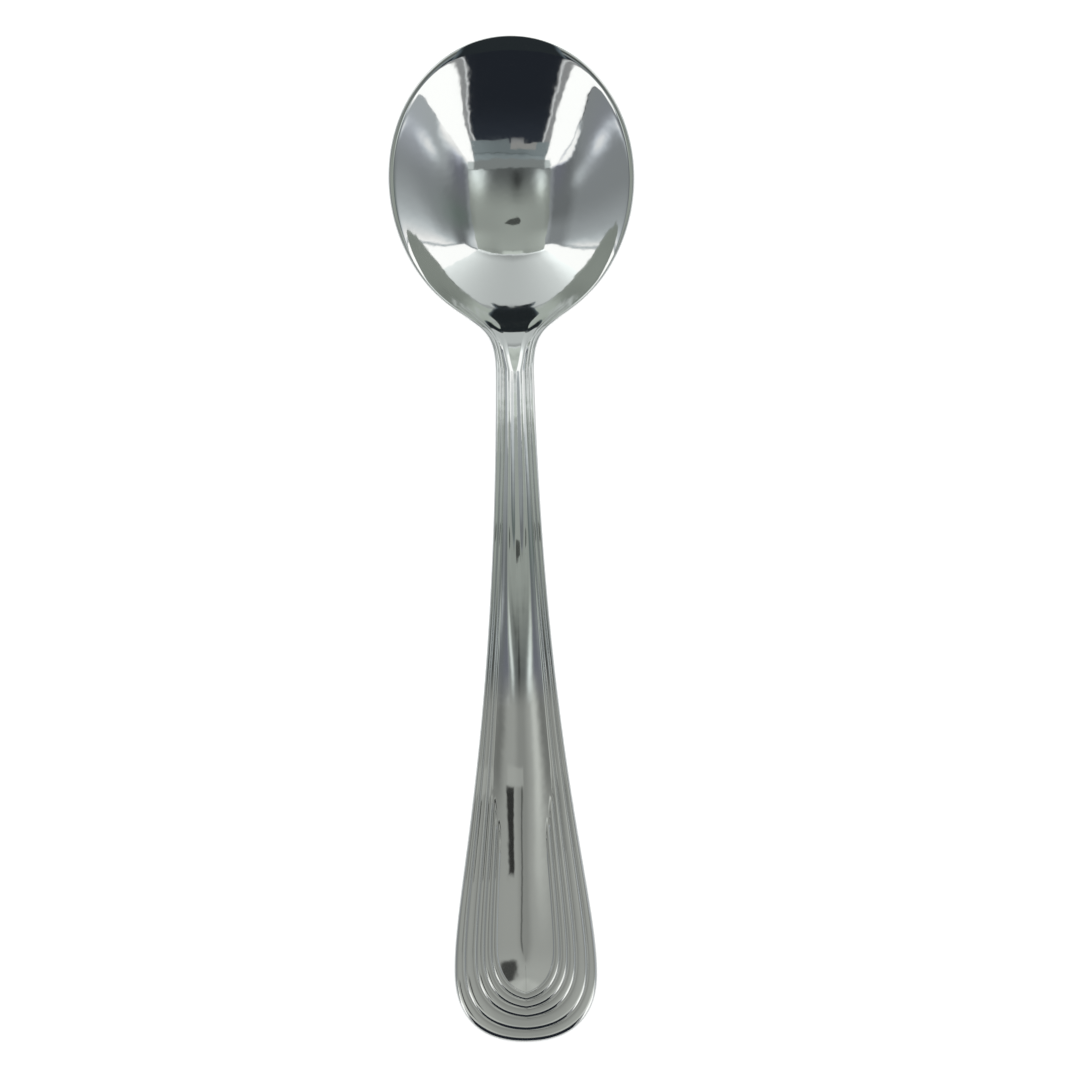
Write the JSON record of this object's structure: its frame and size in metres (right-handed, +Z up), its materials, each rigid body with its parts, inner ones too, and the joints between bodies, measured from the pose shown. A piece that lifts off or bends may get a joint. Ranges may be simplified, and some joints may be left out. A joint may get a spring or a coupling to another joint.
{
  "type": "soup spoon",
  "caption": "Round-bowled soup spoon of polished steel, with a narrow neck and a broad handle edged with a border, grooves and nested U-shaped reeds.",
  "frame": {"origin": "under the middle of the length and width, on the surface that the spoon lies on", "axes": "+Y from the handle's end to the bowl's tip, +Z up, out of the bowl, +X across"},
  "size_m": [0.0384, 0.158, 0.0169],
  "materials": {
    "steel": "mirror-polished stainless steel"
  },
  "bodies": {
    "root": {"spoon": "steel"}
  },
  "joints": []
}
